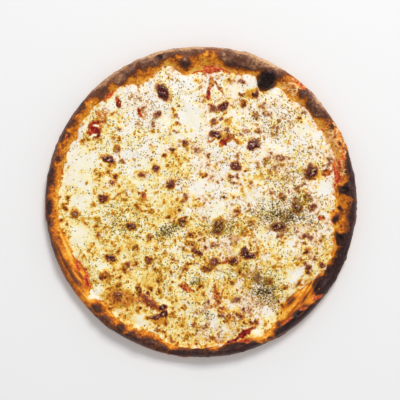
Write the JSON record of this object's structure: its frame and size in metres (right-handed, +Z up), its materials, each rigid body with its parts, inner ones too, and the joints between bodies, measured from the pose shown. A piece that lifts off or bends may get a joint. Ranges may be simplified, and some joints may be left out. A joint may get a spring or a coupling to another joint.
{
  "type": "pizza",
  "caption": "Whole round baked pizza: a dough crust with a raised charred rim, a thin tomato sauce layer and a sheet of melted, browned mozzarella with oregano flakes",
  "frame": {"origin": "middle of the flat underside, on the surface the pizza rests on", "axes": "+Z up through the toppings, +X to the right and +Y to the top of the pizza as seen from above"},
  "size_m": [0.31, 0.3084, 0.0211],
  "materials": {
    "baked_dough": "baked wheat dough, golden orange on the inner slope and dark brown to charred on the crest",
    "tomato_sauce": "cooked tomato sauce, moist and slightly glossy",
    "melted_cheese": "melted mozzarella, cream white with golden brown blisters and green-grey oregano flakes"
  },
  "bodies": {
    "root": {"crust": "baked_dough", "sauce": "tomato_sauce", "cheese": "melted_cheese"}
  },
  "joints": []
}
